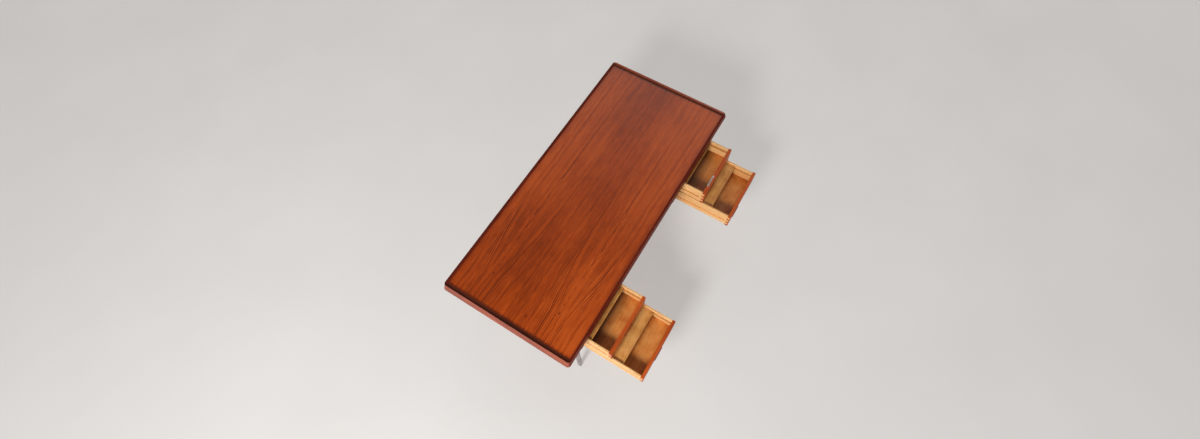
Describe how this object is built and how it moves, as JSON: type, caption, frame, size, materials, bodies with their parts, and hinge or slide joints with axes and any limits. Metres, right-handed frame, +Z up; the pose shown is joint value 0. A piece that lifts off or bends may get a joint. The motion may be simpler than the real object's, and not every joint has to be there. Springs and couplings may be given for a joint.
{
  "type": "executive desk",
  "caption": "Executive desk with a raised-edge wooden top on a square steel underframe, hanging pedestals with open drawers, sliding trays and a drawer lock.",
  "frame": {"origin": "on the floor, in the middle of the four feet", "axes": "+X along the desk to the user's right, +Y from the user's side to the back, +Z up"},
  "size_m": [2, 1.28, 0.725],
  "materials": {
    "top_veneer": "satin oiled red-brown veneer, grain along the desk",
    "edging_wood": "satin oiled solid wood, darker than the veneer",
    "front_wood": "satin oiled solid wood",
    "carcass_veneer": "satin oiled veneer",
    "drawer_oak": "clear lacquered pale wood",
    "bottom_ply": "stained plywood, satin",
    "tray_wood": "satin lacquered wood",
    "runner_beech": "waxed wood",
    "satin_steel": "satin, finely brushed",
    "screw_steel": "zinc plated",
    "glide_plastic": "matte moulded plastic",
    "lock_metal": "nickel plated, lightly worn",
    "lock_brass": "brushed brass"
  },
  "bodies": {
    "desk": {"back_left_leg": "satin_steel", "back_lip": "edging_wood", "back_long_rail": "satin_steel", "back_right_leg": "satin_steel", "carcass_screws": "screw_steel", "foot_glides": "glide_plastic", "front_left_leg": "satin_steel", "front_lip": "edging_wood", "front_long_rail": "satin_steel", "front_right_leg": "satin_steel", "left_carcass_back": "carcass_veneer", "left_carcass_bottom": "carcass_veneer", "left_carcass_inner_side": "carcass_veneer", "left_carcass_outer_side": "carcass_veneer", "left_carcass_top": "carcass_veneer", "left_cross_rail": "satin_steel", "left_end_lip": "edging_wood", "left_runners": "runner_beech", "right_carcass_back": "carcass_veneer", "right_carcass_bottom": "carcass_veneer", "right_carcass_inner_side": "carcass_veneer", "right_carcass_outer_side": "carcass_veneer", "right_carcass_top": "carcass_veneer", "right_cross_rail": "satin_steel", "right_end_lip": "edging_wood", "right_runners": "runner_beech", "top_panel": "top_veneer", "top_screws": "screw_steel"},
    "drawer_left_upper": {"left_upper_drawer_back": "drawer_oak", "left_upper_drawer_bottom": "bottom_ply", "left_upper_drawer_front": "front_wood", "left_upper_drawer_side_left": "drawer_oak", "left_upper_drawer_side_right": "drawer_oak", "left_upper_tray_ledges": "drawer_oak"},
    "drawer_left_lower": {"left_lower_drawer_back": "drawer_oak", "left_lower_drawer_bottom": "bottom_ply", "left_lower_drawer_front": "front_wood", "left_lower_drawer_side_left": "drawer_oak", "left_lower_drawer_side_right": "drawer_oak", "left_lower_tray_ledges": "drawer_oak"},
    "drawer_right_upper": {"lock_case": "lock_metal", "lock_screws": "screw_steel", "right_upper_drawer_back": "drawer_oak", "right_upper_drawer_bottom": "bottom_ply", "right_upper_drawer_front": "front_wood", "right_upper_drawer_side_left": "drawer_oak", "right_upper_drawer_side_right": "drawer_oak", "right_upper_tray_ledges": "drawer_oak"},
    "drawer_right_lower": {"right_lower_drawer_back": "drawer_oak", "right_lower_drawer_bottom": "bottom_ply", "right_lower_drawer_front": "front_wood", "right_lower_drawer_side_left": "drawer_oak", "right_lower_drawer_side_right": "drawer_oak", "right_lower_tray_ledges": "drawer_oak"},
    "tray_left_upper": {"left_upper_tray": "tray_wood"},
    "tray_left_lower": {"left_lower_tray": "tray_wood"},
    "tray_right_upper": {"right_upper_tray": "tray_wood"},
    "tray_right_lower": {"right_lower_tray": "tray_wood"},
    "key_plug": {"lock_plug": "lock_brass"},
    "locking_bolt": {"lock_bolt": "lock_metal"}
  },
  "joints": [
    {"name": "left_upper_drawer_slide", "type": "slide", "parent": "desk", "child": "drawer_left_upper", "axis": [0, -1, 0], "range_m": [-0.205, 0.245]},
    {"name": "left_lower_drawer_slide", "type": "slide", "parent": "desk", "child": "drawer_left_lower", "axis": [0, -1, 0], "range_m": [-0.423, 0.027]},
    {"name": "right_upper_drawer_slide", "type": "slide", "parent": "desk", "child": "drawer_right_upper", "axis": [0, -1, 0], "range_m": [-0.193, 0.257]},
    {"name": "right_lower_drawer_slide", "type": "slide", "parent": "desk", "child": "drawer_right_lower", "axis": [0, -1, 0], "range_m": [-0.405, 0.045]},
    {"name": "left_upper_tray_slide", "type": "slide", "parent": "drawer_left_upper", "child": "tray_left_upper", "axis": [0, -1, 0], "range_m": [0, 0.1]},
    {"name": "left_lower_tray_slide", "type": "slide", "parent": "drawer_left_lower", "child": "tray_left_lower", "axis": [0, -1, 0], "range_m": [0, 0.1]},
    {"name": "right_upper_tray_slide", "type": "slide", "parent": "drawer_right_upper", "child": "tray_right_upper", "axis": [0, -1, 0], "range_m": [0, 0.1]},
    {"name": "right_lower_tray_slide", "type": "slide", "parent": "drawer_right_lower", "child": "tray_right_lower", "axis": [0, -1, 0], "range_m": [0, 0.1]},
    {"name": "key_turn", "type": "hinge", "parent": "drawer_right_upper", "child": "key_plug", "pos_m": [0.513, -0.596, 0.603], "axis": [0, -1, 0], "range_deg": [0, 90]},
    {"name": "bolt_slide", "type": "slide", "parent": "drawer_right_upper", "child": "locking_bolt", "axis": [0, 0, 1], "range_m": [0, 0.00778]}
  ],
  "couplings": [
    {"joint": "key_turn", "follows": "bolt_slide", "rad_per_m": 201.94}
  ]
}
